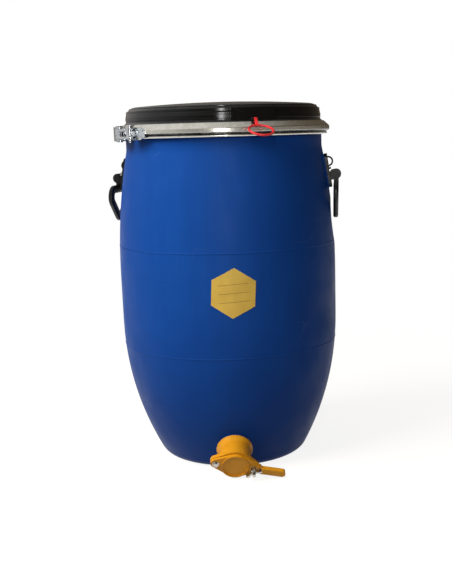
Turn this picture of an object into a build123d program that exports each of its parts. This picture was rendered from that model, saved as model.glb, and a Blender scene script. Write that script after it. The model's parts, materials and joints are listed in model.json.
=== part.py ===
"""Honey settling tank: an open-top blow-moulded drum with a clamped lid, two drop handles and a honey gate.

Millimetres, +Z up, drum axis on Z, floor at Z = 0, honey gate facing -Y.
Angles round the drum are in degrees from the front (-Y), positive towards the right (+X).
"""

import os
from math import asin, atan2, cos, degrees, hypot, radians, sin, sqrt

from build123d import *

os.makedirs("parts", exist_ok=True)

# Drum
belly_r = 200.0
rim_z = 600.0
belly_low_z = 258.0
low_bow_r = 530.0
high_bow_r = 1090.0
corner_r = 25.0
shoulder = 23.0
throat_r = 40.0
neck_h = 28.2
wall = 3.2
mould_ring_low, mould_ring_high = 40.0, 54.0
mould_ring_r = 1.5
mould_ring_proud = 0.6
push_up_h = 9.0
push_up_margin = 18.0
push_up_slope = 12.0
flange_root = 11.5
flange_land = 3.5

# Lid, clamp ring and their shared flange
flange_w = 9.8
lid_gap = 1.0
lid_wall = 3.2
lid_h = 48.0
lid_step = -2.0
lid_corner_r = 18.0
lid_crown = 6.0
hoop_proud = 0.6
hoops = ((14.4, 2.4), (21.2, 7.2), (31.5, 6.0), (38.2, 2.2))
plug_gap = 0.8
plug_depth = 14.0
gasket_w = 8.6
gasket_h = 3.3
sheet = 1.2
ring_flat, ring_flat_high, ring_flat_low = 3.9, 2.0, 3.2
ring_knee, ring_knee_high, ring_knee_low = 3.2, 3.2, 4.4
ring_lip, ring_lip_high = 5.8, 11.2
ring_foot, ring_foot_low = 2.3, 7.1
ring_gap = 0.3
hem_r, hem_out, hem_low = 2.2, 0.4, 9.6

# Closure on the left of the ring, angles from the closure's own middle
closure_az = -61.0
closure_drop = 3.0
ring_split = (0.5, 5.0)
pin_r = 2.5
pin_head_r, pin_head_t = 4.0, 1.6
run_fit = 0.08
plate_t = 1.5
ear_z = 8.9
ear_r = 4.5
ear_root = 3.0
link_half_h = 8.5
link_t = 1.9
hook_u, hook_v = -30.0, 5.7
hook_pin_half = 14.5
fulcrum_u, fulcrum_v = 9.0, 7.0
lever_u, lever_v = 21.0, 5.9
lever_tail = -52.0
lever_web_gap = 15.0
lever_side_gap = 0.3
lever_in, lever_out = -3.0, 6.2
lever_boss_r = 5.0
front_plate = (5.5, 17.9)
rear_plate = (-15.5, -0.5)
front_rivets = (11.6, 15.8)
rear_rivets = (-9.5, -13.0)
rivet_up, rivet_r, rivet_head_r, rivet_head_t = -0.6, 1.6, 2.8, 1.15
hook_start, hook_end = 90.0, 205.0
hook_clear = 0.5
tongue_len, tongue_taper, tongue_cut = 20.0, 24.0, 13.3

# Red seal loop and its lug
seal_az = 16.5
seal_panel_deg = 25.0
seal_panel_top = 34.5
panel_proud = 1.8
seal_bar_z = 15.2
seal_bar_out = 9.0
seal_bar_r = 1.6
seal_eye_r = 2.8
seal_eye_w = 5.6
seal_cheek_t = 2.6
seal_cheek_wall = 1.0
seal_loop_r = 20.0
seal_tube_r = 1.9
seal_droop = 23.0
seal_stem_out, seal_stem_down = 10.3, 10.0

# Handles
handle_right_az, handle_left_az = 83.0, -103.0
handle_drop = 77.0
plate_w, plate_h, bracket_t = 46.0, 60.0, 5.0
pad_proud = 0.6
pivot_up, pivot_out = -9.0, 16.0
boss_r = 8.75
eyelet_r, eyelet_t = 9.5, 3.0
cheek_in, cheek_t = 7.8, 5.2
handle_pin_r, pin_cap_t = 3.5, 2.0
grip_tilt_right, grip_tilt_left = 1.2, -3.0
grip_half_w, grip_drop, grip_top = 53.0, 79.0, 12.0
grip_bar, grip_t, grip_round = 14.0, 9.2, 3.6
grip_corner_r, grip_heel_r = 20.0, 24.0
grip_neck = 14.0
bolt_x, bolt_r = 17.5, 3.0
bolt_head_r, bolt_head_t = 4.4, 2.95
bolt_nut_r, bolt_nut_t = 5.6, 5.0
bolt_washer_r, bolt_washer_t = 7.0, 1.2
plate_corner_r = 8.0
pocket_drop, pocket_h, pocket_depth = 58.0, 62.0, 1.2
pocket_len = 150.0

# Honey gate, outward along its own axis from the drum wall
valve_z = 47.0
valve_turn = 13.0
valve_seat = 0.8
seat_r = 29.5
inner_seat = 7.0
inner_seat_r = 35.0
inner_gasket_r, lock_nut_r = 31.0, 33.0
bore_r = 19.5
shank_r = 22.5
shank_len = 26.0
collar_r, collar_t, collar_lip = 32.3, 4.5, 2.0
flare_h = 14.0
valve_gasket_t = 2.0
waist_r = 28.6
face_len = 45.0
face_t = 7.0
gate_gap = 0.2
gate_t, gate_web_t = 7.0, 4.8
gate_r = 24.5
gate_dish_r, gate_dish = 22.0, 2.2
seal_in_r, seal_out_r, seal_t = 20.5, 23.5, 2.0
pivot_x, stud_x = -35.0, 33.0
screw_r = 3.0
slot_clear = 0.6
gate_ear_r = 9.0
gate_end_x, gate_end_y = 90.0, -0.9
gate_bar_w, gate_bar_t = 12.0, 9.0
gate_bar_x, gate_bar_y = 14.5, -0.6
pad_x, pad_r = 38.0, 10.5
washer_r, washer_t = 6.0, 1.2
hex_r, head_t, nut_t = 4.8, 3.0, 5.0
wing_r, wing_h, wing_t, wing_turn = 14.5, 14.0, 3.2, 36.0
wing_hub_r, wing_hub_h = 5.6, 7.5
lock_nut_t = 9.0
slot_end = 26.0
stud_seat = 1.5
stud_len = 68.0

# Label
label_up, label_az = 31.0, 2.0
label_r, label_tilt = 43.0, -3.5
label_gap, label_t = 0.25, 0.3

# Clearances: pieces pressed together, threads, screw holes, and how far a cut runs past a face
touch = 0.05
thread_fit = 0.03
hole_fit = 0.2
past = 1.0


def direction(az):
    return (sin(radians(az)), -cos(radians(az)), 0)


def meridian(az):
    """Upright half-plane at this angle: local x is the radius, local y the height."""
    return Plane(origin=(0, 0, 0), x_dir=direction(az), z_dir=(-cos(radians(az)), -sin(radians(az)), 0))


neck_r = belly_r - shoulder
throat_z = rim_z - neck_h
belly_high_z = throat_z - sqrt((high_bow_r + throat_r) ** 2 - (high_bow_r + throat_r - shoulder) ** 2)
low_centre = (belly_r - low_bow_r, belly_low_z)
high_centre = (belly_r - high_bow_r, belly_high_z)
foot_r = low_centre[0] + sqrt((low_bow_r - corner_r) ** 2 - (corner_r - belly_low_z) ** 2)
corner_centre = (foot_r, corner_r)
throat_centre = (neck_r + throat_r, throat_z)
mould_ring_heights = (belly_low_z - mould_ring_low, belly_high_z + mould_ring_high)
label_z = (belly_low_z + belly_high_z) / 2 + label_up
closure_z = rim_z - closure_drop
handle_z = rim_z - handle_drop
pocket_z = handle_z - pocket_drop
lid_side_r = neck_r + lid_step


def wall_r(z):
    if z < belly_low_z:
        return low_centre[0] + sqrt(low_bow_r**2 - (z - belly_low_z) ** 2)
    if z > belly_high_z:
        return high_centre[0] + sqrt(high_bow_r**2 - (z - belly_high_z) ** 2)
    return belly_r


def lean(z):
    """Angle of the wall's outward normal above the horizontal."""
    if z < belly_low_z:
        return degrees(asin((z - belly_low_z) / low_bow_r))
    if z > belly_high_z:
        return degrees(asin((z - belly_high_z) / high_bow_r))
    return 0.0


def toward(centre, target, distance):
    span = hypot(target[0] - centre[0], target[1] - centre[1])
    return (
        centre[0] + (target[0] - centre[0]) * distance / span,
        centre[1] + (target[1] - centre[1]) * distance / span,
    )


def arc(centre, start, end):
    """Start, middle and end of the shorter arc about a centre."""
    middle = ((start[0] + end[0]) / 2, (start[1] + end[1]) / 2)
    radius = hypot(start[0] - centre[0], start[1] - centre[1])
    return start, toward(centre, middle, radius), end


def drum_outline(inset, top):
    """Half outline of the drum, moved in by the inset: pairs are lines, triples are arcs."""
    foot = (foot_r, inset)
    low = toward(low_centre, corner_centre, low_bow_r - inset)
    belly_low = (belly_r - inset, belly_low_z)
    belly_high = (belly_r - inset, belly_high_z)
    high = toward(high_centre, throat_centre, high_bow_r - inset)
    throat = (neck_r - inset, throat_z)
    return [
        ((0, inset), foot),
        arc(corner_centre, foot, low),
        arc(low_centre, low, belly_low),
        (belly_low, belly_high),
        arc(high_centre, belly_high, high),
        arc(throat_centre, high, throat),
        (throat, (neck_r - inset, top)),
        ((neck_r - inset, top), (0, top)),
        ((0, top), (0, inset)),
    ]


def mitred(points, t):
    """Closed outline of a sheet of thickness t along an open line of points."""
    left, right = [], []
    for n, (x, y) in enumerate(points):
        before = points[max(n - 1, 0)]
        after = points[min(n + 1, len(points) - 1)]
        a = atan2(y - before[1], x - before[0]) if n else None
        b = atan2(after[1] - y, after[0] - x) if n < len(points) - 1 else None
        a = b if a is None else a
        b = a if b is None else b
        half = t / 2 / cos((b - a) / 2)
        across = (a + b) / 2 + radians(90)
        left.append((x + half * cos(across), y + half * sin(across)))
        right.append((x - half * cos(across), y - half * sin(across)))
    return left + right[::-1]


def post(plane, r, z0, z1, x=0.0, y=0.0, mode=Mode.ADD):
    with Locations(plane.location * Pos(x, y, z0)):
        Cylinder(r, z1 - z0, align=(Align.CENTER, Align.CENTER, Align.MIN), mode=mode)


def hexagon(plane, r, z0, z1, x=0.0, y=0.0):
    with BuildSketch(plane.offset(z0)) as outline:
        with Locations((x, y)):
            RegularPolygon(r, 6)
    extrude(outline.sketch, amount=z1 - z0)


def sector(az0, az1, r0, r1, z0, z1, mode=Mode.ADD):
    with BuildSketch(meridian(az0)) as section:
        with Locations(((r0 + r1) / 2, (z0 + z1) / 2)):
            Rectangle(r1 - r0, z1 - z0)
    revolve(section.sketch, axis=Axis.Z, revolution_arc=az1 - az0, mode=mode)


def tangent_web(r0, x1, r1):
    """Corners of the web between a circle about the origin and one at x1, along their shared tangents."""
    side = 1 if x1 > 0 else -1
    cosine = (r0 - r1) / abs(x1)
    sine = sqrt(1 - cosine**2)
    ends = [(side * r0 * cosine, r0 * sine), (x1 + side * r1 * cosine, r1 * sine)]
    return ends + [(x, -y) for x, y in reversed(ends)]


def stirrup(inset, mode=Mode.ADD):
    """Rounded triangle hanging from its long side: two shoulders and a heel, moved in by the inset."""
    shoulder_x, shoulder_y = grip_half_w - grip_corner_r, -grip_top - grip_corner_r
    heel_y = grip_heel_r - grip_drop
    with BuildSketch(mode=Mode.PRIVATE) as outline:
        with Locations((-shoulder_x, shoulder_y), (shoulder_x, shoulder_y)):
            Circle(grip_corner_r - inset)
        with Locations((0, heel_y)):
            Circle(grip_heel_r - inset)
        make_hull()
    add(outline.sketch, mode=mode)


def save(builder, name):
    builder.part.label = name
    export_step(builder.part, f"parts/{name}.step")


def handle_planes(az, rest_tilt=0.0):
    """Bracket plane on the pad's face, and grip plane at the pivot: local x runs round the drum, y up."""
    out = direction(az)
    round_drum = (cos(radians(az)), sin(radians(az)), 0)
    tilt = radians(lean(handle_z))
    normal = Vector(out[0] * cos(tilt), out[1] * cos(tilt), sin(tilt))
    foot = Vector(out[0] * wall_r(handle_z), out[1] * wall_r(handle_z), handle_z)
    bracket = Plane(origin=foot + normal * pad_proud, x_dir=round_drum, z_dir=normal)
    swing = radians(rest_tilt)
    face = Vector(out[0] * cos(swing), out[1] * cos(swing), -sin(swing))
    pivot = bracket.from_local_coords((0, pivot_up, pivot_out))
    grip = Plane(origin=pivot, x_dir=round_drum, z_dir=face)
    return bracket, grip


def pocket_plane(az):
    """Local z runs round the drum, through the middle of the hand pocket's scoop."""
    reach = wall_r(pocket_z) - pocket_depth + pocket_r
    out = direction(az)
    origin = (out[0] * reach, out[1] * reach, pocket_z)
    return Plane(origin=origin, x_dir=out, z_dir=(cos(radians(az)), sin(radians(az)), 0))


pocket_r = ((pocket_h / 2) ** 2 + pocket_depth**2) / (2 * pocket_depth)
sides = (("right", handle_right_az, grip_tilt_right), ("left", handle_left_az, grip_tilt_left))

valve_lean = radians(-lean(valve_z))
valve_out = Vector(0, -cos(valve_lean), -sin(valve_lean))
valve_up = Vector(0, -sin(valve_lean), cos(valve_lean))
valve_right = Vector(1, 0, 0) * cos(radians(valve_turn)) - valve_up * sin(radians(valve_turn))
valve = Plane(origin=(0, -wall_r(valve_z), valve_z), x_dir=valve_right, z_dir=valve_out)

# Bolt seats inside the drum: deep enough for a washer to lie flat on the curved wall
bolt_seat_r = bolt_washer_r + past
bolt_seat = pad_proud + wall + (bolt_x + bolt_seat_r) ** 2 / (2 * (wall_r(handle_z) - wall)) + hole_fit


# Drum: outer form, cavity, then the body
with BuildPart() as drum_form:
    with BuildSketch(Plane.XZ):
        with BuildLine():
            for ends in drum_outline(0.0, rim_z):
                if len(ends) == 2:
                    Line(*ends)
                else:
                    ThreePointArc(*ends)
        make_face()
    revolve(axis=Axis.Z)

push_r = foot_r - push_up_margin
with BuildPart() as cavity:
    with BuildSketch(Plane.XZ):
        with BuildLine():
            for ends in drum_outline(wall, rim_z + past):
                if len(ends) == 2:
                    Line(*ends)
                else:
                    ThreePointArc(*ends)
        make_face()
    revolve(axis=Axis.Z)
    with BuildSketch(Plane.XZ):
        Polygon(
            (0, 0),
            (push_r + wall, 0),
            (push_r + wall - push_up_slope, push_up_h + wall),
            (0, push_up_h + wall),
            align=None,
        )
    revolve(axis=Axis.Z, mode=Mode.SUBTRACT)
    for _, az, _ in sides:
        scoop = pocket_plane(az)
        half = pocket_len / 2 + wall
        post(scoop, pocket_r + wall, -half, half, mode=Mode.SUBTRACT)
        bracket, _ = handle_planes(az)
        for x in (-bolt_x, bolt_x):
            post(bracket, bolt_seat_r, -bolt_seat, 0, x=x, mode=Mode.SUBTRACT)
    post(valve, inner_seat_r, -inner_seat, 0, mode=Mode.SUBTRACT)

flange_r = neck_r + flange_w
ring_line = [
    (flange_r - ring_lip, rim_z + ring_lip_high),
    (flange_r + ring_knee, rim_z + ring_knee_high),
    (flange_r + ring_flat, rim_z + ring_flat_high),
    (flange_r + ring_flat, rim_z - ring_flat_low),
    (flange_r + ring_knee, rim_z - ring_knee_low),
    (flange_r - ring_foot, rim_z - ring_foot_low),
]
ring_r = flange_r + ring_flat + sheet / 2
slope_under = (ring_line[4][1] - ring_line[5][1]) / (ring_line[4][0] - ring_line[5][0])
slope_over = (ring_line[0][1] - ring_line[1][1]) / (ring_line[1][0] - ring_line[0][0])
clear = ring_gap + sheet / 2


def under_ring(r):
    """Height of the drum flange's underside, a sheet and a gap above the ring's lower flank."""
    return ring_line[4][1] - slope_under * (ring_line[4][0] - r) + clear * sqrt(1 + slope_under**2)


def over_ring(r):
    """Height of the lid flange's top, a sheet and a gap below the ring's upper flank."""
    return ring_line[1][1] + slope_over * (ring_line[1][0] - r) - clear * sqrt(1 + slope_over**2)


with BuildPart() as drum_body:
    add(drum_form.part)
    with BuildSketch(Plane.XZ):
        Polygon(
            (neck_r - wall, rim_z - flange_root - wall / 2),
            (neck_r, rim_z - flange_root),
            (flange_r - flange_land, under_ring(flange_r - flange_land)),
            (flange_r, under_ring(flange_r)),
            (flange_r, rim_z),
            (neck_r - wall, rim_z),
            align=None,
        )
        for z in mould_ring_heights:
            with Locations((wall_r(z) + mould_ring_proud - mould_ring_r, z)):
                Circle(mould_ring_r)
    revolve(axis=Axis.Z)
    for _, az, _ in sides:
        scoop = pocket_plane(az)
        post(scoop, pocket_r, -pocket_len / 2, pocket_len / 2, mode=Mode.SUBTRACT)
        bracket, _ = handle_planes(az)
        with BuildSketch(bracket):
            RectangleRounded(plate_w - past, plate_h - past, plate_corner_r - past / 2)
        extrude(amount=-pad_proud - wall)
    post(valve, seat_r, -wall, valve_seat)
    add(cavity.part, mode=Mode.SUBTRACT)
    with BuildSketch(Plane.XZ):
        Polygon(
            (0, -past),
            (push_r, -past),
            (push_r, 0),
            (push_r - push_up_slope, push_up_h),
            (0, push_up_h),
            align=None,
        )
    revolve(axis=Axis.Z, mode=Mode.SUBTRACT)
    post(valve, shank_r + 2 * hole_fit, -inner_seat - past, valve_seat + past, mode=Mode.SUBTRACT)
    for _, az, _ in sides:
        bracket, _ = handle_planes(az)
        for x in (-bolt_x, bolt_x):
            post(bracket, bolt_r + hole_fit, -bolt_seat - past, past, x=x, mode=Mode.SUBTRACT)
save(drum_body, "drum_body")

# Label: a hexagonal skin just over the wall
label_plane = Plane(
    origin=(0, 0, label_z),
    x_dir=(cos(radians(label_az)), sin(radians(label_az)), 0),
    z_dir=direction(label_az),
)
with BuildPart() as drum_label:
    with BuildSketch(Plane.XZ):
        with BuildLine():
            for ends in drum_outline(-label_gap - label_t, rim_z):
                if len(ends) == 2:
                    Line(*ends)
                else:
                    ThreePointArc(*ends)
        make_face()
    revolve(axis=Axis.Z)
    with BuildSketch(Plane.XZ):
        with BuildLine():
            for ends in drum_outline(-label_gap, rim_z + past):
                if len(ends) == 2:
                    Line(*ends)
                else:
                    ThreePointArc(*ends)
        make_face()
    revolve(axis=Axis.Z, mode=Mode.SUBTRACT)
    with BuildSketch(label_plane):
        RegularPolygon(label_r, 6, rotation=90 + label_tilt)
    extrude(amount=belly_r + wall, mode=Mode.INTERSECT)
save(drum_label, "drum_label")

# Lid
lid_low = rim_z + lid_gap
lid_top = rim_z + lid_h
plug_r = neck_r - wall - plug_gap
top_r = lid_side_r - lid_corner_r
corner_z = lid_top - lid_crown - lid_corner_r
lid_in_r = lid_side_r - lid_wall
bend = (top_r, corner_z)
gasket_mid = (neck_r - wall + flange_r) / 2
lug = Plane(
    origin=(direction(seal_az)[0] * lid_side_r, direction(seal_az)[1] * lid_side_r, rim_z + seal_bar_z),
    x_dir=(cos(radians(seal_az)), sin(radians(seal_az)), 0),
    z_dir=direction(seal_az),
)
lug_side = Plane(origin=lug.origin, x_dir=lug.z_dir, z_dir=-lug.x_dir)
with BuildPart() as lid:
    with BuildSketch(Plane.XZ):
        with BuildLine():
            ThreePointArc((0, lid_top), (top_r / 2, lid_top - lid_crown / 4), (top_r, lid_top - lid_crown))
            ThreePointArc(*arc(bend, (top_r, corner_z + lid_corner_r), (lid_side_r, corner_z)))
            Polyline(
                (lid_side_r, corner_z),
                (lid_side_r, over_ring(lid_side_r)),
                (flange_r, over_ring(flange_r)),
                (flange_r, lid_low),
                (plug_r, lid_low),
                (plug_r, rim_z - plug_depth),
                (plug_r - lid_wall, rim_z - plug_depth),
                (plug_r - lid_wall, lid_low + lid_wall),
                (lid_in_r, lid_low + 2 * lid_wall),
                (lid_in_r, corner_z),
            )
            ThreePointArc(*arc(bend, (lid_in_r, corner_z), (top_r, corner_z + lid_corner_r - lid_wall)))
            Line((top_r, corner_z + lid_corner_r - lid_wall), (0, lid_top - lid_crown - lid_wall))
            Line((0, lid_top - lid_crown - lid_wall), (0, lid_top))
        make_face()
        for up, tall in hoops:
            z = rim_z + up
            dip = max(z - corner_z, 0.0)
            with Locations((top_r + sqrt(lid_corner_r**2 - dip**2), z)):
                RectangleRounded(2 * hoop_proud, tall, 0.45 * min(tall, 2 * hoop_proud))
        with Locations((gasket_mid, lid_low)):
            Rectangle(gasket_w + 2 * hole_fit, 2 * (gasket_h - lid_gap), mode=Mode.SUBTRACT)
    revolve(axis=Axis.Z)
    half_panel = seal_panel_deg / 2
    panel_r = lid_side_r + panel_proud
    panel_low = over_ring(panel_r) - 0.5
    panel = (lid_in_r + past, panel_r, panel_low, rim_z + seal_panel_top)
    sector(seal_az - half_panel, seal_az + half_panel, *panel)
    cheek_near, cheek_far = seal_eye_w / 2 + 2 * hole_fit, seal_eye_w / 2 + seal_cheek_t
    for start in (cheek_near, -cheek_far):
        with BuildSketch(lug_side.offset(start)):
            with Locations((seal_bar_out, 0)):
                Circle(seal_bar_r + seal_cheek_wall)
            with Locations((seal_bar_out / 2, 0)):
                Rectangle(seal_bar_out, 2 * (seal_bar_r + seal_cheek_wall))
        extrude(amount=cheek_far - cheek_near)
    post(lug_side, seal_bar_r, -seal_eye_w / 2 - past, seal_eye_w / 2 + past, x=seal_bar_out)
save(lid, "lid")

with BuildPart() as lid_gasket:
    with BuildSketch(Plane.XZ):
        with Locations((gasket_mid, rim_z + gasket_h / 2)):
            Rectangle(gasket_w, gasket_h - 2 * touch)
    revolve(axis=Axis.Z)
save(lid_gasket, "lid_gasket")

# Seal loop: an eye round the lug's bar, a short stem and the pull loop
droop = radians(seal_droop)
loop_at = Vector(seal_bar_out + seal_stem_out, -seal_stem_down)
loop_mid = loop_at + Vector(cos(droop), -sin(droop)) * seal_loop_r
loop_plane = Plane(
    origin=lug_side.from_local_coords((loop_mid.X, loop_mid.Y, 0)),
    x_dir=lug.x_dir,
    z_dir=lug.z_dir * sin(droop) + Vector(0, 0, cos(droop)),
)
with BuildPart() as seal_loop:
    post(lug_side, seal_eye_r, -seal_eye_w / 2, seal_eye_w / 2, x=seal_bar_out)
    stem_turn = degrees(atan2(-seal_stem_down, seal_stem_out))
    with BuildSketch(lug_side):
        with Locations((seal_bar_out + seal_stem_out / 2, -seal_stem_down / 2)):
            Rectangle(hypot(seal_stem_out, seal_stem_down), 2 * seal_tube_r, rotation=stem_turn)
    extrude(amount=seal_eye_w / 2 - 3 * hole_fit, both=True)
    with Locations(loop_plane.location):
        Torus(seal_loop_r, seal_tube_r)
    post(lug_side, seal_bar_r + run_fit, -seal_eye_w, seal_eye_w, x=seal_bar_out, mode=Mode.SUBTRACT)
save(seal_loop, "seal_loop")


def rivet_plane(az):
    """Local z runs outward through the ring, at the rivets' height."""
    return Plane(origin=(0, 0, rim_z + rivet_up), x_dir=(0, 0, 1), z_dir=direction(closure_az + az))


# Clamp ring
with BuildPart() as clamp_ring:
    with BuildSketch(meridian(closure_az + ring_split[1])):
        Polygon(*mitred(ring_line, sheet), align=None)
        with Locations((ring_line[5][0] + hem_out, rim_z - hem_low)):
            Circle(hem_r)
    revolve(axis=Axis.Z, revolution_arc=360.0 - (ring_split[1] - ring_split[0]))
    for az in front_rivets + rear_rivets:
        post(rivet_plane(az), rivet_r + touch, flange_r, ring_r + past, mode=Mode.SUBTRACT)
save(clamp_ring, "clamp_ring")

# Closure: local x runs back round the ring, y outward, z up from the closure's middle
closure = Plane(
    origin=(direction(closure_az)[0] * ring_r, direction(closure_az)[1] * ring_r, closure_z),
    x_dir=(-cos(radians(closure_az)), -sin(radians(closure_az)), 0),
    z_dir=(0, 0, 1),
)
bracket_in_r = ring_r + touch
bracket_r = bracket_in_r + plate_t
plate_low, plate_high = closure_z - ear_z - plate_t, closure_z + ear_z + plate_t
pin_reach = 2 * ear_z


def swing_az(u, v):
    """Angle round the drum of a point of the closure."""
    return closure_az - degrees(atan2(u, ring_r + v))


def ears(u, v):
    """Two level ears from the ring bracket out round a pin."""
    for z in (ear_z, -ear_z - plate_t):
        with BuildSketch(closure.offset(z)) as ear:
            with Locations((u, v)):
                Circle(ear_r)
            with Locations((u, (v - ear_root) / 2)):
                Rectangle(2 * ear_r, v + ear_root)
        extrude(ear.sketch, amount=plate_t)


with BuildPart() as ring_bracket_front:
    plate_ends = [closure_az + az for az in front_plate]
    sector(*plate_ends, bracket_in_r, bracket_r, plate_low, plate_high)
    ears(hook_u, hook_v)
    with BuildSketch(Plane.XY):
        Circle(bracket_in_r)
    extrude(amount=rim_z + lid_h, mode=Mode.SUBTRACT)
    tongue_az = radians(plate_ends[1])
    trim = Plane(
        origin=(0, 0, closure_z),
        x_dir=(cos(tongue_az), sin(tongue_az), 0),
        z_dir=direction(plate_ends[1]),
    )
    with BuildSketch(trim):
        for side in (1, -1):
            with Locations((tongue_len / 3, side * tongue_cut)):
                Rectangle(2 * tongue_len, tongue_len, rotation=-side * tongue_taper)
    extrude(amount=2 * bracket_r, mode=Mode.SUBTRACT)
    post(closure, pin_r + touch, -pin_reach, pin_reach, x=hook_u, y=hook_v, mode=Mode.SUBTRACT)
    for az in front_rivets:
        post(rivet_plane(az), rivet_r + touch, ring_r - past, bracket_r + past, mode=Mode.SUBTRACT)
save(ring_bracket_front, "ring_bracket_front")

with BuildPart() as ring_bracket_rear:
    plate_ends = [closure_az + az for az in rear_plate]
    sector(*plate_ends, bracket_in_r, bracket_r, plate_low, plate_high)
    ears(fulcrum_u, fulcrum_v)
    with BuildSketch(Plane.XY):
        Circle(bracket_in_r)
    extrude(amount=rim_z + lid_h, mode=Mode.SUBTRACT)
    post(closure, pin_r + touch, -pin_reach, pin_reach, x=fulcrum_u, y=fulcrum_v, mode=Mode.SUBTRACT)
    for az in rear_rivets:
        post(rivet_plane(az), rivet_r + touch, ring_r - past, bracket_r + past, mode=Mode.SUBTRACT)
save(ring_bracket_rear, "ring_bracket_rear")

with BuildPart() as ring_rivets:
    for az in front_rivets + rear_rivets:
        rivet = rivet_plane(az)
        back = ring_r - sheet - touch
        front = bracket_r + touch
        post(rivet, rivet_r, back - touch, front + touch)
        post(rivet, rivet_head_r, front, front + rivet_head_t)
        post(rivet, rivet_r + sheet / 2, back - rivet_head_t, back)
save(ring_rivets, "ring_rivets")

with BuildPart() as hook_pin:
    post(closure, pin_r, -hook_pin_half, hook_pin_half, x=hook_u, y=hook_v)
save(hook_pin, "hook_pin")

lever_z = ear_z + plate_t + lever_side_gap
lever_out_z = lever_z + plate_t
with BuildPart() as fulcrum_pins:
    for side in (1, -1):
        low, high = sorted((side * (link_half_h + hole_fit), side * (lever_out_z + 4 * touch)))
        post(closure, pin_r, low, high, x=fulcrum_u, y=fulcrum_v)
        low, high = sorted((side * (lever_out_z + 2 * touch), side * (lever_out_z + pin_head_t)))
        post(closure, pin_head_r, low, high, x=fulcrum_u, y=fulcrum_v)
save(fulcrum_pins, "fulcrum_pins")

lever_in_r, lever_out_r = ring_r + lever_in, ring_r + lever_out
tail_az = closure_az + lever_tail
web_u = lever_u + lever_web_gap
web_az = swing_az(web_u, 0)
web_v = sqrt(lever_out_r**2 - web_u**2) - ring_r
with BuildPart() as closing_lever:
    for z in (lever_z, -lever_out_z):
        with BuildSketch(closure.offset(z)):
            Polygon(
                (fulcrum_u, 0),
                (fulcrum_u, fulcrum_v + lever_boss_r),
                (lever_u, lever_v + lever_boss_r),
                (web_u, web_v),
                (web_u, 0),
                align=None,
            )
            with Locations((fulcrum_u, fulcrum_v), (lever_u, lever_v)):
                Circle(lever_boss_r)
        extrude(amount=plate_t)
        front_az = swing_az(fulcrum_u, fulcrum_v)
        sector(tail_az, front_az, lever_in_r, lever_out_r, closure_z + z, closure_z + z + plate_t)
    tall = closure_z - lever_out_z, closure_z + lever_out_z
    sector(tail_az, web_az, lever_out_r - plate_t, lever_out_r, *tall)
    for u, v in ((fulcrum_u, fulcrum_v), (lever_u, lever_v)):
        post(closure, pin_r + run_fit, -pin_reach, pin_reach, x=u, y=v, mode=Mode.SUBTRACT)
save(closing_lever, "closing_lever")

with BuildPart() as lever_pin:
    pin_end = lever_out_z + 2 * touch
    post(closure, pin_r, -pin_end - touch, pin_end + touch, x=lever_u, y=lever_v)
    for z in (pin_end, -pin_end - sheet):
        post(closure, pin_head_r, z, z + sheet, x=lever_u, y=lever_v)
save(lever_pin, "lever_pin")

eye_r = ear_r + 2 * touch
hook_r = pin_r + hook_clear + link_t
with BuildPart() as toggle_link:
    with BuildSketch(closure):
        with BuildLine():
            Polyline(
                (hook_u, hook_v + hook_r),
                (lever_u, lever_v + eye_r),
                (lever_u, lever_v + eye_r - link_t),
                (hook_u, hook_v + hook_r - link_t),
                close=True,
            )
        make_face()
        with Locations((lever_u, lever_v)):
            Circle(eye_r)
        with BuildLine():
            half_way = (hook_start + hook_end) / 2
            tip = (cos(radians(hook_end)), sin(radians(hook_end)))
            mid = (cos(radians(half_way)), sin(radians(half_way)))
            inner = hook_r - link_t
            ThreePointArc(
                (hook_u, hook_v + hook_r),
                (hook_u + hook_r * mid[0], hook_v + hook_r * mid[1]),
                (hook_u + hook_r * tip[0], hook_v + hook_r * tip[1]),
            )
            Line(
                (hook_u + hook_r * tip[0], hook_v + hook_r * tip[1]),
                (hook_u + inner * tip[0], hook_v + inner * tip[1]),
            )
            ThreePointArc(
                (hook_u + inner * tip[0], hook_v + inner * tip[1]),
                (hook_u + inner * mid[0], hook_v + inner * mid[1]),
                (hook_u, hook_v + inner),
            )
            Line((hook_u, hook_v + inner), (hook_u, hook_v + hook_r))
        make_face()
    extrude(amount=link_half_h, both=True)
    window = Plane(origin=closure.origin, x_dir=closure.x_dir, z_dir=closure.y_dir)
    with BuildSketch(window):
        with Locations(((hook_u + fulcrum_u) / 2, 0)):
            RectangleRounded(fulcrum_u - hook_u - 2 * hook_r, link_half_h, pin_r)
    extrude(amount=pin_reach, mode=Mode.SUBTRACT)
    post(closure, pin_r + run_fit, -pin_reach, pin_reach, x=lever_u, y=lever_v, mode=Mode.SUBTRACT)
save(toggle_link, "toggle_link")

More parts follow.
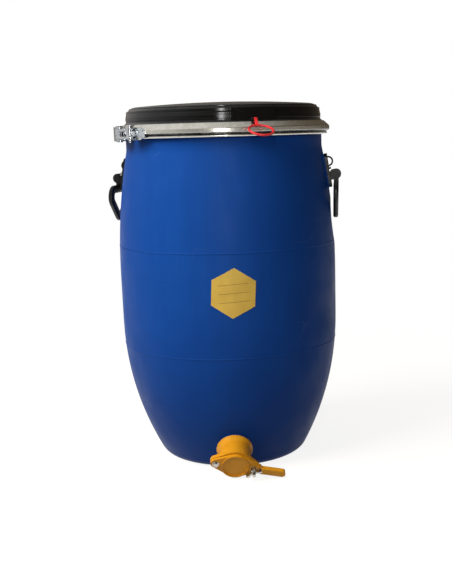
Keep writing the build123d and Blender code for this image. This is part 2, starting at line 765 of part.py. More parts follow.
# Handles
for side, az, rest_tilt in sides:
    bracket, grip = handle_planes(az, rest_tilt)
    profile = Plane(origin=bracket.origin, x_dir=bracket.y_dir, z_dir=bracket.x_dir)

    with BuildPart() as handle_bracket:
        with BuildSketch(bracket):
            RectangleRounded(plate_w, plate_h, plate_corner_r)
        extrude(amount=bracket_t)
        for x in (-cheek_in - cheek_t, cheek_in):
            with BuildSketch(profile.offset(x)):
                with Locations((pivot_up, pivot_out)):
                    Circle(boss_r)
                with Locations((pivot_up, (pivot_out + bracket_t - past) / 2)):
                    Rectangle(2 * boss_r, pivot_out - bracket_t + past)
            extrude(amount=cheek_t)
        with BuildSketch(profile):
            with Locations((plate_h / 2 - 1.5 * eyelet_r, bracket_t)):
                Circle(eyelet_r)
                Circle(eyelet_r - eyelet_t, mode=Mode.SUBTRACT)
                with Locations((0, -eyelet_r / 2 - past)):
                    Rectangle(2 * eyelet_r, eyelet_r, mode=Mode.SUBTRACT)
        extrude(amount=eyelet_t, both=True)
        cross = Plane(origin=grip.origin, x_dir=grip.y_dir, z_dir=grip.x_dir)
        post(cross, handle_pin_r + touch, -plate_w, plate_w, mode=Mode.SUBTRACT)
        for x in (-bolt_x, bolt_x):
            post(bracket, bolt_r + hole_fit, -past, bracket_t + past, x=x, mode=Mode.SUBTRACT)
    save(handle_bracket, f"handle_bracket_{side}")

    with BuildPart() as handle_pin:
        pin_half = cheek_in + cheek_t + 2 * touch
        post(cross, handle_pin_r, -pin_half - touch, pin_half + touch)
        for x in (-pin_half - pin_cap_t, pin_half):
            post(cross, handle_pin_r + pin_cap_t, x, x + pin_cap_t)
    save(handle_pin, f"handle_pin_{side}")

    with BuildPart() as handle_grip:
        with BuildSketch(grip):
            stirrup(0.0)
            stirrup(grip_bar, Mode.SUBTRACT)
        extrude(amount=grip_t / 2, both=True)
        fillet(handle_grip.edges(), grip_round)
        knuckle_half = cheek_in - 2 * hole_fit
        post(cross, boss_r - 2 * hole_fit, -knuckle_half, knuckle_half)
        with BuildSketch(grip):
            with Locations((0, -grip_neck / 2)):
                Rectangle(2 * knuckle_half, grip_neck)
        extrude(amount=grip_t / 2, both=True)
        post(cross, handle_pin_r + run_fit, -plate_w, plate_w, mode=Mode.SUBTRACT)
    save(handle_grip, f"handle_grip_{side}")

    with BuildPart() as handle_bolts:
        for x in (-bolt_x, bolt_x):
            tail = bolt_seat + bolt_washer_t + bolt_nut_t + 2 * past
            head = bracket_t + touch
            post(bracket, bolt_r, -tail, head + touch, x=x)
            post(bracket, bolt_head_r, head, head + bolt_head_t, x=x)
    save(handle_bolts, f"handle_bolts_{side}")

    with BuildPart() as handle_washers:
        for x in (-bolt_x, bolt_x):
            top = -bolt_seat - touch
            post(bracket, bolt_washer_r, top - bolt_washer_t, top, x=x)
            post(bracket, bolt_r + hole_fit, top - 2 * bolt_washer_t, top + past, x=x, mode=Mode.SUBTRACT)
    save(handle_washers, f"handle_washers_{side}")

    with BuildPart() as handle_nuts:
        for x in (-bolt_x, bolt_x):
            top = -bolt_seat - 2 * touch - bolt_washer_t
            hexagon(bracket, bolt_nut_r, top - bolt_nut_t, top, x=x)
            post(bracket, bolt_r + thread_fit, top - bolt_nut_t - past, top + past, x=x, mode=Mode.SUBTRACT)
    save(handle_nuts, f"handle_nuts_{side}")

# Honey gate
collar_low = valve_seat + valve_gasket_t + 2 * touch
ear_back = face_len - face_t
valve_section = Plane(origin=valve.origin, x_dir=valve.x_dir, z_dir=-valve.y_dir)
lip_centre = (collar_r - collar_lip, collar_low + collar_lip)
flare_z = collar_low + collar_t + flare_h
flare_r = (flare_h**2 + (collar_r - waist_r) ** 2) / (2 * (collar_r - waist_r))
with BuildPart() as valve_body:
    post(valve, shank_r, -shank_len, collar_low)
    with BuildSketch(valve_section):
        with BuildLine():
            Line((0, collar_low), (collar_r - collar_lip, collar_low))
            ThreePointArc(*arc(lip_centre, (collar_r - collar_lip, collar_low), (collar_r, lip_centre[1])))
            Line((collar_r, lip_centre[1]), (collar_r, flare_z - flare_h))
            ThreePointArc(*arc((waist_r + flare_r, flare_z), (collar_r, flare_z - flare_h), (waist_r, flare_z)))
            Polyline((waist_r, flare_z), (waist_r, face_len), (0, face_len), (0, collar_low))
        make_face()
    revolve(axis=Axis(valve.origin, valve.z_dir))
    with BuildSketch(valve.offset(ear_back)):
        for x in (pivot_x, stud_x):
            Polygon(*tangent_web(waist_r, x, gate_ear_r + past / 2), align=None)
            with Locations((x, 0)):
                Circle(gate_ear_r + past / 2)
    extrude(amount=face_t)
    post(valve, bore_r, -shank_len - past, face_len + past, mode=Mode.SUBTRACT)
    post(valve, screw_r + touch, ear_back - past, face_len + past, x=pivot_x, mode=Mode.SUBTRACT)
    post(valve, screw_r + thread_fit, ear_back + stud_seat, face_len + past, x=stud_x, mode=Mode.SUBTRACT)
save(valve_body, "valve_body")

with BuildPart() as valve_gasket_outer:
    post(valve, seat_r, valve_seat + touch, valve_seat + touch + valve_gasket_t)
    post(valve, shank_r + hole_fit, 0, 2 * valve_gasket_t + valve_seat, mode=Mode.SUBTRACT)
save(valve_gasket_outer, "valve_gasket_outer")

inner_top = -inner_seat - touch
with BuildPart() as valve_gasket_inner:
    post(valve, inner_gasket_r, inner_top - valve_gasket_t, inner_top)
    post(valve, shank_r + hole_fit, inner_top - 2 * valve_gasket_t, inner_top + past, mode=Mode.SUBTRACT)
save(valve_gasket_inner, "valve_gasket_inner")

nut_top = inner_top - valve_gasket_t - touch
with BuildPart() as valve_lock_nut:
    hexagon(valve, lock_nut_r, nut_top - lock_nut_t, nut_top)
    post(valve, shank_r + touch, nut_top - lock_nut_t - past, nut_top + past, mode=Mode.SUBTRACT)
save(valve_lock_nut, "valve_lock_nut")

gate_back = face_len + gate_gap
gate_front = gate_back + gate_t
web_front = gate_back + gate_web_t
with BuildPart() as valve_gate:
    with BuildSketch(valve.offset(gate_back)):
        for x, r in ((pivot_x, gate_ear_r), (pad_x, pad_r)):
            Polygon(*tangent_web(gate_r, x, r), align=None)
            with Locations((x, 0)):
                Circle(r)
    extrude(amount=gate_web_t)
    post(valve, gate_r, gate_back, gate_front)
    with BuildSketch(valve.offset(gate_back)):
        start = (stud_x + gate_bar_x, gate_bar_y)
        end = (gate_end_x - gate_bar_w / 2, gate_end_y)
        with Locations(((start[0] + end[0]) / 2, (start[1] + end[1]) / 2)):
            run = hypot(end[0] - start[0], end[1] - start[1])
            turn = degrees(atan2(end[1] - start[1], end[0] - start[0]))
            SlotCenterToCenter(run, gate_bar_w, rotation=turn)
    extrude(amount=gate_bar_t)
    post(valve, gate_dish_r, gate_front - gate_dish, gate_front + past, mode=Mode.SUBTRACT)
    with BuildSketch(valve.offset(gate_back - past)):
        with BuildLine():
            swing = stud_x - pivot_x
            outer = swing + screw_r + slot_clear
            inner = swing - screw_r - slot_clear
            mid = (cos(radians(slot_end / 2)), -sin(radians(slot_end / 2)))
            tip = (cos(radians(slot_end)), -sin(radians(slot_end)))
            for radius in (outer, inner):
                ThreePointArc(
                    (pivot_x + radius, 0),
                    (pivot_x + radius * mid[0], radius * mid[1]),
                    (pivot_x + radius * tip[0], radius * tip[1]),
                )
            Line((pivot_x + inner, 0), (pivot_x + outer, 0))
            Line(
                (pivot_x + inner * tip[0], inner * tip[1]),
                (pivot_x + outer * tip[0], outer * tip[1]),
            )
        make_face()
        with Locations((stud_x, 0)):
            Circle(screw_r + slot_clear)
    extrude(amount=gate_bar_t + 3 * past, mode=Mode.SUBTRACT)
    post(valve, screw_r + run_fit, gate_back - past, gate_front + past, x=pivot_x, mode=Mode.SUBTRACT)
    with BuildSketch(valve.offset(gate_back - past)):
        Circle(seal_out_r)
        Circle(seal_in_r, mode=Mode.SUBTRACT)
    extrude(amount=seal_t + past, mode=Mode.SUBTRACT)
save(valve_gate, "valve_gate")

with BuildPart() as gate_seal:
    with BuildSketch(valve.offset(face_len + touch)):
        Circle(seal_out_r - touch)
        Circle(seal_in_r + touch, mode=Mode.SUBTRACT)
    extrude(amount=gate_gap + seal_t - 2 * touch)
save(gate_seal, "gate_seal")

with BuildPart() as gate_pivot_washer:
    post(valve, washer_r, web_front + touch, web_front + touch + washer_t, x=pivot_x)
    post(valve, screw_r + hole_fit, web_front, web_front + 2 * washer_t, x=pivot_x, mode=Mode.SUBTRACT)
save(gate_pivot_washer, "gate_pivot_washer")

head_low = web_front + washer_t + 2 * touch
with BuildPart() as gate_pivot_bolt:
    post(valve, screw_r, ear_back - nut_t - 2 * past, head_low + past, x=pivot_x)
    hexagon(valve, hex_r, head_low, head_low + head_t, x=pivot_x)
save(gate_pivot_bolt, "gate_pivot_bolt")

with BuildPart() as gate_pivot_nut:
    hexagon(valve, hex_r, ear_back - touch - nut_t, ear_back - touch, x=pivot_x)
    post(valve, screw_r + thread_fit, ear_back - nut_t - past, ear_back + past, x=pivot_x, mode=Mode.SUBTRACT)
save(gate_pivot_nut, "gate_pivot_nut")

with BuildPart() as clamp_stud:
    post(valve, screw_r, ear_back + stud_seat + touch, stud_len, x=stud_x)
save(clamp_stud, "clamp_stud")

with BuildPart() as clamp_washer:
    post(valve, washer_r, web_front + touch, web_front + touch + washer_t, x=stud_x)
    post(valve, screw_r + run_fit, web_front, web_front + 2 * washer_t, x=stud_x, mode=Mode.SUBTRACT)
save(clamp_washer, "clamp_washer")

wing_low = gate_bar_t - gate_web_t - washer_t + slot_clear
wing_way = valve.x_dir * cos(radians(wing_turn)) + valve.y_dir * sin(radians(wing_turn))
wing_face = Plane(
    origin=valve.from_local_coords((stud_x, 0, head_low)),
    x_dir=wing_way,
    z_dir=wing_way.cross(valve.z_dir),
)
with BuildPart() as wing_nut:
    post(valve, wing_hub_r, head_low, head_low + wing_hub_h, x=stud_x)
    for side in (1, -1):
        with BuildSketch(wing_face):
            Polygon(
                (0, wing_low),
                (side * (wing_hub_r - past), wing_low),
                (side * wing_r, wing_h / 3),
                (side * wing_r, wing_h),
                (side * 2 * wing_r / 3, wing_h),
                (0, wing_hub_h - past),
                align=None,
            )
        extrude(amount=wing_t / 2, both=True)
    post(valve, screw_r + run_fit, head_low - past, stud_len + past, x=stud_x, mode=Mode.SUBTRACT)
save(wing_nut, "wing_nut")
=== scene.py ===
import json
import math

import bpy
import numpy as np
from mathutils import Matrix, Vector

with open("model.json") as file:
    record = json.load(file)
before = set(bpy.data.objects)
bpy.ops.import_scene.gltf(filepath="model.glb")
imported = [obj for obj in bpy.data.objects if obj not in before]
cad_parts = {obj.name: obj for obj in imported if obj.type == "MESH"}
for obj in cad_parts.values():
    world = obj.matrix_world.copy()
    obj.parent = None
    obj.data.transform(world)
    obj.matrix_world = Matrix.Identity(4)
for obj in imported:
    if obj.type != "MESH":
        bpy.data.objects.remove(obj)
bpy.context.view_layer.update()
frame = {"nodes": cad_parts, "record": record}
nodes = frame["nodes"]
print("frame loaded:", len(nodes), "CAD nodes")


def linear(hexColour):  # sRGB hex to the linear values that sockets take
    srgb = np.array([int(hexColour[i:i + 2], 16) for i in (1, 3, 5)]) / 255
    flat = np.where(srgb <= 0.04045, srgb / 12.92, ((srgb + 0.055) / 1.055) ** 2.4)
    return (*flat.tolist(), 1.0)


def addNode(tree, kind, inputs=None, **settings):  # each input is a socket to link, a hex colour or a value
    node = tree.nodes.new(kind)
    for name, value in settings.items():
        setattr(node, name, value)
    for socket, value in (inputs or {}).items():
        if isinstance(value, bpy.types.NodeSocket):
            tree.links.new(value, node.inputs[socket])
        elif isinstance(value, str):
            node.inputs[socket].default_value = linear(value)
        else:
            node.inputs[socket].default_value = value
    return node


def newMaterial(name, surface):  # a Principled material with its tree, shader and Object coordinates
    material = bpy.data.materials.new(name)
    material.use_nodes = True
    tree = material.node_tree
    tree.nodes.clear()
    shader = addNode(tree, "ShaderNodeBsdfPrincipled", surface)
    addNode(tree, "ShaderNodeOutputMaterial", {"Surface": shader.outputs[0]})
    place = addNode(tree, "ShaderNodeTexCoord").outputs["Object"]
    return material, tree, shader, place


def spots(tree, place, sizeMm, low=0.0, high=1.0, stretch=(1, 1, 1), detail=2.0):  # soft noise from low to high
    along = addNode(tree, "ShaderNodeMapping", {"Vector": place, "Scale": stretch}).outputs[0]
    grain = {"Vector": along, "Scale": 1000 / sizeMm, "Detail": detail}
    noise = addNode(tree, "ShaderNodeTexNoise", grain).outputs[0]
    spread = {"Value": noise, "From Min": 0.3, "From Max": 0.7, "To Min": low, "To Max": high}
    return addNode(tree, "ShaderNodeMapRange", spread).outputs[0]


def scratches(tree, place, gapMm, width, share):  # hairlines: level lines of a smooth noise, kept in patches
    smooth = {"Vector": place, "Scale": 1000 / gapMm, "Detail": 0.5}
    noise = addNode(tree, "ShaderNodeTexNoise", smooth).outputs[0]
    line = addNode(tree, "ShaderNodeMath", {0: noise, 1: 0.5, 2: width}, operation="COMPARE").outputs[0]
    patch = spots(tree, place, gapMm * 0.7, -1.2 * share, share)
    return addNode(tree, "ShaderNodeMath", {0: line, 1: patch}, operation="MULTIPLY", use_clamp=True).outputs[0]


def paint(tree, shader, body, *coats):  # base colour, then coats of (how much shows, colour)
    for share, colour in coats:
        body = addNode(tree, "ShaderNodeMix", {0: share, 6: body, 7: colour}, data_type="RGBA").outputs[2]
    tree.links.new(body, shader.inputs["Base Color"])


def relief(tree, shader, edgeMm, *layers):  # rounded edges, then bumps of (height socket, depth in mm)
    normal = addNode(tree, "ShaderNodeBevel", {"Radius": edgeMm / 1000}, samples=4).outputs[0]
    for height, depthMm in layers:
        bump = {"Height": height, "Normal": normal, "Distance": depthMm / 1000}
        normal = addNode(tree, "ShaderNodeBump", bump).outputs[0]
    tree.links.new(normal, shader.inputs["Normal"])


drumFinish = {
    "surface": {"IOR": 1.54, "Specular IOR Level": 0.08},
    "blue": "#154a9c",
    "shade": "#114291",
    "cloudMm": 130,
    "streakMm": 16, "streakStretch": (1, 1, 0.05), "streakShare": 0.6,
    "scuff": "#5f83c0",
    "scuffGapMm": 85, "scuffWidth": 0.003, "scuffShare": 0.1,
    "deep": "#08265f",  # painted shade: the blue is made deeper towards the foot
    "paintedShadeLow": 0.02, "paintedShadeHigh": 0.34, "paintedShadeShare": 0.6,  # heights in metres
    "satinMm": 45, "satin": (0.43, 0.56),  # roughness from patch to patch
    "edgeMm": 0.8,
    "peelMm": 2.0, "peelDepthMm": 0.05,  # real peel is about 1 mm, drawn coarser so that it shows
    "waveMm": 70, "waveDepthMm": 0.5,
}


def makeDrumBlue(finish):  # blow-moulded polyethylene: waxy satin, faint flow streaks, peel, a wall never quite true, and painted shade that deepens the blue towards the foot
    material, tree, shader, place = newMaterial("polyethyleneBlue", finish["surface"])
    cloud = spots(tree, place, finish["cloudMm"])
    streak = spots(tree, place, finish["streakMm"], 0.0, finish["streakShare"], finish["streakStretch"])
    scuffed = scratches(tree, place, finish["scuffGapMm"], finish["scuffWidth"], finish["scuffShare"])
    # painted shade: lower down on the drum the blue is mixed towards the deep blue
    height = addNode(tree, "ShaderNodeSeparateXYZ", {0: place}).outputs["Z"]
    low = {"From Min": finish["paintedShadeLow"], "From Max": finish["paintedShadeHigh"]}
    paintedShadeSpan = {"To Min": finish["paintedShadeShare"], "To Max": 0.0}
    paintedFootShade = addNode(tree, "ShaderNodeMapRange", {"Value": height, **low, **paintedShadeSpan}).outputs[0]
    paint(
        tree, shader, finish["blue"], (cloud, finish["shade"]), (streak, finish["shade"]),
        (scuffed, finish["scuff"]), (paintedFootShade, finish["deep"]),
    )
    tree.links.new(spots(tree, place, finish["satinMm"], *finish["satin"]), shader.inputs["Roughness"])
    peel = spots(tree, place, finish["peelMm"])
    wave = spots(tree, place, finish["waveMm"], detail=0.0)
    relief(tree, shader, finish["edgeMm"], (peel, finish["peelDepthMm"]), (wave, finish["waveDepthMm"]))
    return material


lidFinish = {
    "surface": {"IOR": 1.54, "Specular IOR Level": 0.29},
    "black": "#080809",
    "worn": "#101012", "wornMm": 38,
    "dust": "#5a5956", "dustMm": 5, "dustShare": 0.3,
    "dustSlope": 0.55,  # dust lies where the upward part of the normal is more than this
    "hairline": "#6b6b6b",
    "hairlineGapMm": 60, "hairlineWidth": 0.004, "hairlineShare": 0.3,
    "glossMm": 22, "gloss": (0.11, 0.17),
    "edgeMm": 0.8,
    "sinkMm": 24, "sinkStretch": (1, 1, 0.25), "sinkDepthMm": 0.12,  # shrink marks stand upright round the side
    "grainMm": 2.2, "grainDepthMm": 0.006,
}


def makeLidBlack(finish):  # injection-moulded polyethylene: glossy skin with handling haze, hairlines and dust on top
    material, tree, shader, place = newMaterial("polyethyleneBlack", finish["surface"])
    haze = spots(tree, place, finish["wornMm"])
    normal = addNode(tree, "ShaderNodeNewGeometry").outputs["Normal"]
    up = addNode(tree, "ShaderNodeSeparateXYZ", {0: normal}).outputs["Z"]
    flat = {"Value": up, "From Min": finish["dustSlope"], "From Max": 1.0, "To Max": finish["dustShare"]}
    level = addNode(tree, "ShaderNodeMapRange", flat).outputs[0]
    specks = spots(tree, place, finish["dustMm"], -0.4, 1.0)
    dusty = addNode(tree, "ShaderNodeMath", {0: level, 1: specks}, operation="MULTIPLY", use_clamp=True).outputs[0]
    scratched = scratches(tree, place, finish["hairlineGapMm"], finish["hairlineWidth"], finish["hairlineShare"])
    paint(
        tree, shader, finish["black"], (haze, finish["worn"]),
        (dusty, finish["dust"]), (scratched, finish["hairline"]),
    )
    tree.links.new(spots(tree, place, finish["glossMm"], *finish["gloss"]), shader.inputs["Roughness"])
    sink = spots(tree, place, finish["sinkMm"], stretch=finish["sinkStretch"], detail=0.0)
    grain = spots(tree, place, finish["grainMm"])
    relief(tree, shader, finish["edgeMm"], (sink, finish["sinkDepthMm"]), (grain, finish["grainDepthMm"]))
    return material


labelFinish = {
    "surface": {"IOR": 1.45, "Roughness": 0.42},
    "gold": "#d3b045",
    "deep": "#c49e37", "deepMm": 28,
    "fleck": "#efcf7a", "fleckMm": 0.9, "fleckShare": 0.25,
    "ink": "#5a3c14", "inkMm": 1.5, "inkCover": (0.55, 0.95),
    "centre": (0.007, 0.0, 0.3325),  # metres, on the drum's front
    "tilt": -3.5,  # degrees
    "halfWidthMm": 26,
    "ruleGapMm": 7.5,
    "ruleMm": 0.7,
    "ruleRows": 2.6,  # gaps above and below the middle that hold lines
    "edgeMm": 0.1,
    "grainMm": 1.2, "grainDepthMm": 0.01,
}


def makeLabelGold(finish):  # coated paper sticker: even sheen, flecked gold, ruled lines to write on
    material, tree, shader, place = newMaterial("coatedPaper", finish["surface"])
    back = Matrix.Rotation(math.radians(-finish["tilt"]), 4, "Y")
    shift = -(back @ Vector(finish["centre"]))
    level = {"Vector": place, "Rotation": back.to_euler(), "Location": shift}
    turned = addNode(tree, "ShaderNodeMapping", level, vector_type="POINT").outputs[0]
    flat = addNode(tree, "ShaderNodeSeparateXYZ", {0: turned}).outputs
    gap = finish["ruleGapMm"] / 1000
    phase = addNode(tree, "ShaderNodeMath", {0: flat["Z"], 1: gap}, operation="PINGPONG").outputs[0]
    side = addNode(tree, "ShaderNodeMath", {0: flat["X"]}, operation="ABSOLUTE").outputs[0]
    rise = addNode(tree, "ShaderNodeMath", {0: flat["Z"]}, operation="ABSOLUTE").outputs[0]
    limits = (
        (phase, finish["ruleMm"] / 2000),
        (side, finish["halfWidthMm"] / 1000),
        (rise, finish["ruleRows"] * gap),
    )
    drawn = spots(tree, place, finish["inkMm"], *finish["inkCover"])
    for measure, limit in limits:  # ink shows where the point is on a line, within its length and rows
        within = addNode(tree, "ShaderNodeMath", {0: measure, 1: limit}, operation="LESS_THAN").outputs[0]
        drawn = addNode(tree, "ShaderNodeMath", {0: drawn, 1: within}, operation="MULTIPLY").outputs[0]
    tone = spots(tree, place, finish["deepMm"])
    flecks = spots(tree, place, finish["fleckMm"], 0.0, finish["fleckShare"])
    paint(tree, shader, finish["gold"], (tone, finish["deep"]), (flecks, finish["fleck"]), (drawn, finish["ink"]))
    relief(tree, shader, finish["edgeMm"], (spots(tree, place, finish["grainMm"]), finish["grainDepthMm"]))
    return material


steelSurface = {  # what the three steels share
    "surface": {"Metallic": 1.0},
    "lineMm": 2.4, "lineDetail": 3.0, "lineDepthMm": 0.003,
    "grimeMm": 17, "grimeShare": (-0.6, 0.4),
    "edgeMm": 0.5,
    "waveMm": 11,
}
galvanisedSteel = {  # zinc spangle on rolled sheet, dulled by handling
    **steelSurface,
    "bright": "#d9d7cf", "dull": "#cbc8be",
    "polish": (0.22, 0.32),
    "spangleMm": 6,
    "lineStretch": (1, 1, 6),
    "waveDepthMm": 0.015,
    # painted shade: a dark band laid into the ring's groove
    "paintedGrooveShade": "#1d2129", "paintedGrooveShadeMm": 14, "paintedGrooveShadeCover": (0.75, 1.0),
    "groove": 0.5942, "grooveHalf": 0.0021,  # metres: the ring's groove, darkened with painted shade, and half its width
}
zincPlate = {  # bright zinc plate: bluish, nearly mirror
    **steelSurface,
    "bright": "#dde1e4", "dull": "#b4bac0",
    "polish": (0.12, 0.28),
    "spangleMm": 3,
    "lineStretch": (1, 1, 0.3),
    "waveDepthMm": 0.03,
}
stainlessSteel = {  # turned and rolled stainless hardware
    **steelSurface,
    "bright": "#c9c7c2", "dull": "#a3a29e",
    "polish": (0.18, 0.32),
    "spangleMm": 2,
    "lineStretch": (3, 3, 0.4),
    "waveDepthMm": 0.02,
}


def makeSteel(name, finish):  # sheet or bar steel: crystal spangle under fine drawing lines
    material, tree, shader, place = newMaterial(name, finish["surface"])
    mosaic = {"Vector": place, "Scale": 1000 / finish["spangleMm"], "Randomness": 1.0}
    cells = addNode(tree, "ShaderNodeTexVoronoi", mosaic).outputs["Color"]
    cell = addNode(tree, "ShaderNodeSeparateColor", {0: cells}).outputs[0]
    lines = spots(tree, place, finish["lineMm"], stretch=finish["lineStretch"], detail=finish["lineDetail"])
    grime = spots(tree, place, finish["grimeMm"], *finish["grimeShare"])
    coats = [(cell, finish["dull"]), (grime, finish["dull"])]
    # painted shade: the band round the groove's height is mixed towards a dark blue-grey
    if "groove" in finish:
        height = addNode(tree, "ShaderNodeSeparateXYZ", {0: place}).outputs["Z"]
        near = {0: height, 1: finish["groove"], 2: finish["grooveHalf"]}
        band = addNode(tree, "ShaderNodeMath", near, operation="COMPARE").outputs[0]
        cover = spots(tree, place, finish["paintedGrooveShadeMm"], *finish["paintedGrooveShadeCover"])
        paintedGrooveShade = addNode(tree, "ShaderNodeMath", {0: band, 1: cover}, operation="MULTIPLY").outputs[0]
        coats.append((paintedGrooveShade, finish["paintedGrooveShade"]))
    paint(tree, shader, finish["bright"], *coats)
    rub = addNode(tree, "ShaderNodeMath", {0: lines, 1: cell}, operation="MULTIPLY").outputs[0]
    span = {"Value": rub, "To Min": finish["polish"][0], "To Max": finish["polish"][1]}
    tree.links.new(addNode(tree, "ShaderNodeMapRange", span).outputs[0], shader.inputs["Roughness"])
    wave = spots(tree, place, finish["waveMm"])
    relief(tree, shader, finish["edgeMm"], (lines, finish["lineDepthMm"]), (wave, finish["waveDepthMm"]))
    return material


mouldedSurface = {  # what the moulded plastics and the rubber share
    "shadeMm": 16,
    "wornMm": 3.0, "wornShare": (-0.9, 0.35),
    "glossMm": 7,
    "edgeMm": 0.9,
    "waveMm": 14, "waveDepthMm": 0.12,
}
nylonBlack = {  # black nylon, fine spark-eroded grain, drawn coarser so that it shows
    **mouldedSurface,
    "surface": {"IOR": 1.53, "Specular IOR Level": 0.3},
    "colour": "#060607", "shade": "#0a0a0b", "worn": "#161617",
    "gloss": (0.3, 0.45),
    "grainMm": 1.4, "grainDepthMm": 0.012,
}
nylonAmber = {  # honey-yellow nylon, satin from the mould
    **mouldedSurface,
    "surface": {"IOR": 1.53, "Specular IOR Level": 0.3},
    "colour": "#d8951a", "shade": "#ca8a12", "worn": "#dfa838",
    "gloss": (0.3, 0.45),
    "grainMm": 1.6, "grainDepthMm": 0.012,
}
nylonRed = {  # red nylon seal, glossy from the mould
    **mouldedSurface,
    "surface": {"IOR": 1.53},
    "colour": "#e8262b", "shade": "#d51c22", "worn": "#f2595a",
    "gloss": (0.2, 0.34),
    "grainMm": 1.6, "grainDepthMm": 0.01,
}
rubberBlack = {  # black rubber: matt with a bloom
    **mouldedSurface,
    "surface": {"IOR": 1.5},
    "colour": "#161616", "shade": "#1f1f20", "worn": "#333334",
    "gloss": (0.6, 0.8),
    "grainMm": 1.2, "grainDepthMm": 0.03,
}


def makeMoulded(name, finish):  # injection-moulded: an eroded grain, slow waves and rubbed spots
    material, tree, shader, place = newMaterial(name, finish["surface"])
    tone = spots(tree, place, finish["shadeMm"])
    rubbed = spots(tree, place, finish["wornMm"], *finish["wornShare"])
    paint(tree, shader, finish["colour"], (tone, finish["shade"]), (rubbed, finish["worn"]))
    tree.links.new(spots(tree, place, finish["glossMm"], *finish["gloss"]), shader.inputs["Roughness"])
    grain = spots(tree, place, finish["grainMm"])
    wave = spots(tree, place, finish["waveMm"])
    relief(tree, shader, finish["edgeMm"], (grain, finish["grainDepthMm"]), (wave, finish["waveDepthMm"]))
    return material


finishes = {
    "drum_blue": makeDrumBlue(drumFinish),
    "label_yellow": makeLabelGold(labelFinish),
    "lid_black": makeLidBlack(lidFinish),
    "galvanised": makeSteel("galvanisedSteel", galvanisedSteel),
    "zinc_plated": makeSteel("zincPlate", zincPlate),
    "stainless": makeSteel("stainlessSteel", stainlessSteel),
    "handle_black": makeMoulded("nylonBlack", nylonBlack),
    "valve_yellow": makeMoulded("nylonAmber", nylonAmber),
    "seal_red": makeMoulded("nylonRed", nylonRed),
    "seal_rubber": makeMoulded("rubberBlack", rubberBlack),
}
for part in frame["record"]["subparts"]:
    mesh = nodes[part["node"]].data
    mesh.materials.clear()
    mesh.materials.append(finishes[part["material_slot"]])
print("materials:", len(finishes))

studio = {
    "floor": {"Base Color": "#8b8983", "Roughness": 0.9, "Specular IOR Level": 0.0},
    "floorRadius": 9.0, "floorSides": 96,
    "floorDrop": 0.0005,  # metres under the drum's foot
    "floorGlow": 0.86,  # what the camera sees added near the object, so that the pale floor reads white
    "fadeFrom": 0.35, "fadeTo": 1.3,  # metres from the drum where the floor goes over to plain white
    "fill": 0.24,  # room light on the object
    "roomDark": "#5e5548",
    "whiteWay": (-1.0, 0.15, 1.0),  # the room is white up and to the left, brown to the right
    "whiteFrom": 0.12, "whiteTo": 1.6,
}


def makeFloor():
    sides = studio["floorSides"]
    turn = np.linspace(0, 2 * np.pi, sides, endpoint=False)
    rim = np.stack([np.cos(turn), np.sin(turn), np.zeros(sides)], 1) * studio["floorRadius"]
    mesh = bpy.data.meshes.new("floor")
    mesh.from_pydata((rim - (0, 0, studio["floorDrop"])).tolist(), [], [list(range(sides))])
    floor = bpy.data.objects.new("floor", mesh)
    bpy.context.scene.collection.objects.link(floor)
    material, tree, shader, place = newMaterial("paperFloor", studio["floor"])
    path = addNode(tree, "ShaderNodeLightPath").outputs
    seen = path["Is Camera Ray"]
    for ray in ("Is Glossy Ray", "Is Transmission Ray"):
        seen = addNode(tree, "ShaderNodeMath", {0: seen, 1: path[ray]}, operation="MAXIMUM").outputs[0]
    away = addNode(tree, "ShaderNodeVectorMath", {0: place}, operation="LENGTH").outputs["Value"]
    fade = {"Value": away, "From Min": studio["fadeFrom"], "From Max": studio["fadeTo"]}
    far = addNode(tree, "ShaderNodeMapRange", fade, interpolation_type="SMOOTHSTEP").outputs[0]
    glow = addNode(tree, "ShaderNodeMath", {0: seen, 1: studio["floorGlow"]}, operation="MULTIPLY").outputs[0]
    pale = addNode(tree, "ShaderNodeEmission", {"Strength": glow}).outputs[0]
    near = addNode(tree, "ShaderNodeAddShader", {0: shader.outputs[0], 1: pale}).outputs[0]
    white = addNode(tree, "ShaderNodeEmission", {"Strength": seen}).outputs[0]
    mix = addNode(tree, "ShaderNodeMixShader", {0: far, 1: near, 2: white}).outputs[0]
    out = next(n for n in tree.nodes if n.type == "OUTPUT_MATERIAL")
    tree.links.new(mix, out.inputs["Surface"])
    mesh.materials.append(material)


def makeRoom():  # white to the camera; to the object a soft fill from the left and a dim brown elsewhere
    world = bpy.data.worlds.new("studio")
    world.use_nodes = True
    tree = world.node_tree
    tree.nodes.clear()
    path = addNode(tree, "ShaderNodeLightPath").outputs
    way = addNode(tree, "ShaderNodeTexCoord").outputs["Generated"]
    toward = {0: way, 1: studio["whiteWay"]}
    rise = addNode(tree, "ShaderNodeVectorMath", toward, operation="DOT_PRODUCT").outputs["Value"]
    span = {"Value": rise, "From Min": studio["whiteFrom"], "From Max": studio["whiteTo"]}
    lit = addNode(tree, "ShaderNodeMapRange", span, interpolation_type="SMOOTHSTEP").outputs[0]
    mirror = addNode(tree, "ShaderNodeMath", {0: lit, 1: path["Is Glossy Ray"]}, operation="MULTIPLY").outputs[0]
    seen = path["Is Camera Ray"]
    for ray in (path["Is Transmission Ray"], mirror):
        seen = addNode(tree, "ShaderNodeMath", {0: seen, 1: ray}, operation="MAXIMUM").outputs[0]
    soft = addNode(tree, "ShaderNodeMath", {0: lit, 1: studio["fill"]}, operation="MULTIPLY").outputs[0]
    fill = addNode(tree, "ShaderNodeBackground", {"Color": "#ffffff", "Strength": soft}).outputs[0]
    dark = addNode(tree, "ShaderNodeBackground", {"Color": studio["roomDark"], "Strength": 1.0}).outputs[0]
    both = addNode(tree, "ShaderNodeAddShader", {0: fill, 1: dark}).outputs[0]
    white = addNode(tree, "ShaderNodeBackground", {"Color": "#ffffff", "Strength": 1.0}).outputs[0]
    mix = addNode(tree, "ShaderNodeMixShader", {0: seen, 1: both, 2: white}).outputs[0]
    addNode(tree, "ShaderNodeOutputWorld", {"Surface": mix})
    bpy.context.scene.world = world


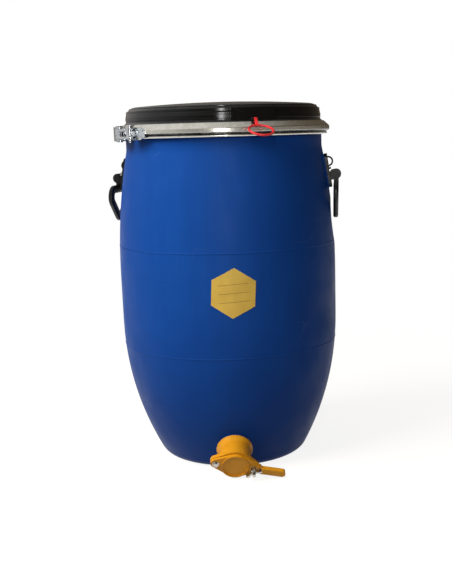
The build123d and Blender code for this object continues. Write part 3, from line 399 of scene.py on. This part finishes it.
lamps = {  # places and sizes in metres, power in watts
    "window": {
        "place": (-2.0, -1.1, 2.3), "aim": (0, 0, 0.5), "size": (2.0, 1.6),
        "power": 116, "colour": "#fff8ee", "mirrored": False,
    },
    "front": {
        "place": (-0.08, -2.4, 1.05), "aim": (0, 0, 0.7), "size": (0.2, 1.0),
        "power": 15, "colour": "#ffffff", "mirrored": True,
    },
}


def addLamp(name, lamp):
    data = bpy.data.lights.new(name, "AREA")
    data.shape = "RECTANGLE"
    data.size, data.size_y = lamp["size"]
    data.energy = lamp["power"]
    data.color = linear(lamp["colour"])[:3]
    item = bpy.data.objects.new(name, data)
    item.location = lamp["place"]
    aim = Vector(lamp["aim"]) - Vector(lamp["place"])
    item.rotation_euler = aim.to_track_quat("-Z", "Y").to_euler()
    item.visible_glossy = lamp["mirrored"]
    bpy.context.scene.collection.objects.link(item)


camera = {
    "place": (0.0, -1.750, 0.598),
    "pitch": 13.42,  # degrees down
    "yaw": 1.82,
    "roll": -1.57,
    "focalPixels": 937.1,
    "centre": (260.4, 353.4),  # pixel that the lens axis meets: the photo is a crop
    "picture": (452, 584),
    "sensor": 36.0,
    "clip": (0.05, 60),
}


def makeCamera():
    pitch, yaw, roll = (math.radians(camera[turn]) for turn in ("pitch", "yaw", "roll"))
    forward = Vector((math.sin(yaw) * math.cos(pitch), math.cos(yaw) * math.cos(pitch), -math.sin(pitch)))
    level = Vector((math.cos(yaw), -math.sin(yaw), 0))
    upright = level.cross(forward)
    right = level * math.cos(roll) + upright * math.sin(roll)
    up = upright * math.cos(roll) - level * math.sin(roll)
    wide, tall = camera["picture"]
    data = bpy.data.cameras.new("camera")
    data.sensor_width = camera["sensor"]
    data.lens = camera["focalPixels"] * camera["sensor"] / tall
    data.shift_x = (wide / 2 - camera["centre"][0]) / tall
    data.shift_y = (camera["centre"][1] - tall / 2) / tall
    data.clip_start, data.clip_end = camera["clip"]
    eye = bpy.data.objects.new("camera", data)
    turn = Matrix((right, up, -forward)).transposed()
    eye.matrix_world = Matrix.Translation(camera["place"]) @ turn.to_4x4()
    bpy.context.scene.collection.objects.link(eye)
    bpy.context.scene.camera = eye


makeFloor()
makeRoom()
for name, lamp in lamps.items():
    addLamp(name, lamp)
makeCamera()
bpy.context.scene.view_settings.view_transform = "Standard"
print("studio and camera ready:", len(lamps), "lamps")
